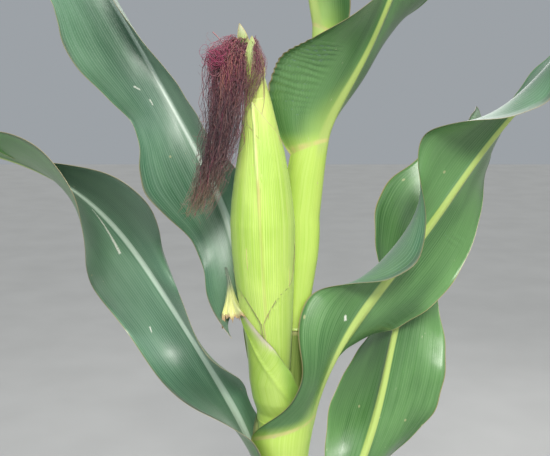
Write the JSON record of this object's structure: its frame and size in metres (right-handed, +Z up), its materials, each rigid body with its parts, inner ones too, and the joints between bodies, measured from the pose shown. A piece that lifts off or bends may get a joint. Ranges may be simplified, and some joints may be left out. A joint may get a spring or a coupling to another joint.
{
  "type": "maize plant",
  "caption": "Whole standing maize plant: a leaning stem with prop roots, arching leaves in two ranks, a husked ear with hanging silk, and a branched tassel.",
  "frame": {"origin": "middle of the flat cut at the stem's foot, level with the ground", "axes": "+Z up along the plant's height, -Y towards the side with the ear, +X towards the right-hand rank of leaves"},
  "size_m": [1.2069, 0.6297, 2.27],
  "materials": {
    "stem": "smooth green stem with pale joints and prop roots",
    "leaf": "living leaf, glossy below and matt above, with a pale midrib",
    "drying_leaf": "leaf that turns yellow and straw coloured",
    "dead_leaf": "dry, crumpled straw coloured leaf",
    "husk": "light green husk with fine lengthwise veins",
    "silk": "fine dark red and brown threads",
    "tassel": "straw coloured flower spikes"
  },
  "bodies": {
    "root": {"stem": "stem", "leaf_01_inner": "dead_leaf", "leaf_01_outer": "dead_leaf", "leaf_02_inner": "drying_leaf", "leaf_02_outer": "drying_leaf", "leaf_03_inner": "leaf", "leaf_03_outer": "leaf", "leaf_04_inner": "leaf", "leaf_04_outer": "leaf", "leaf_05_inner": "leaf", "leaf_05_outer": "leaf", "leaf_06_inner": "leaf", "leaf_06_outer": "leaf", "leaf_07_inner": "leaf", "leaf_07_outer": "leaf", "leaf_08_inner": "leaf", "leaf_08_outer": "leaf", "leaf_09_inner": "leaf", "leaf_09_outer": "leaf", "leaf_10_inner": "leaf", "leaf_10_outer": "leaf", "leaf_11_inner": "leaf", "leaf_11_outer": "leaf", "leaf_12_inner": "leaf", "leaf_12_outer": "leaf", "leaf_13_inner": "leaf", "leaf_13_outer": "leaf", "leaf_14_inner": "leaf", "leaf_14_outer": "leaf", "ear": "husk", "silk": "silk", "tassel": "tassel"}
  },
  "joints": []
}
